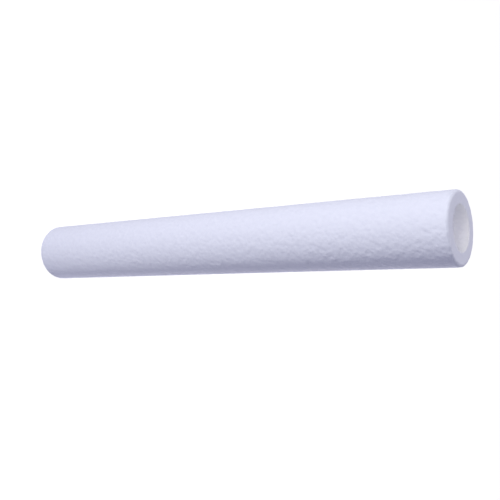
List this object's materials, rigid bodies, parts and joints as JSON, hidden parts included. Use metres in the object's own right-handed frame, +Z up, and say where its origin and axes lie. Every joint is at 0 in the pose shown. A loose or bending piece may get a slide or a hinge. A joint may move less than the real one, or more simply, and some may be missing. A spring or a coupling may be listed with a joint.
{
  "type": "sediment filter cartridge",
  "caption": "Straight white tube of blown fibre with softly rounded rims and an open bore, which stands in a filter housing and strains sediment out of the water that flows through its wall.",
  "frame": {"origin": "centre of the lower end face, on the tube's axis", "axes": "+Z up along the tube's axis, from the end it stands on to the other end. +X and +Y lie across the tube, which is the same all round."},
  "size_m": [0.065, 0.065, 0.508],
  "materials": {
    "blown_fibre": "matt fused polypropylene fibre, finely pebbled, cool white"
  },
  "bodies": {
    "root": {"filter_tube": "blown_fibre"}
  },
  "joints": []
}
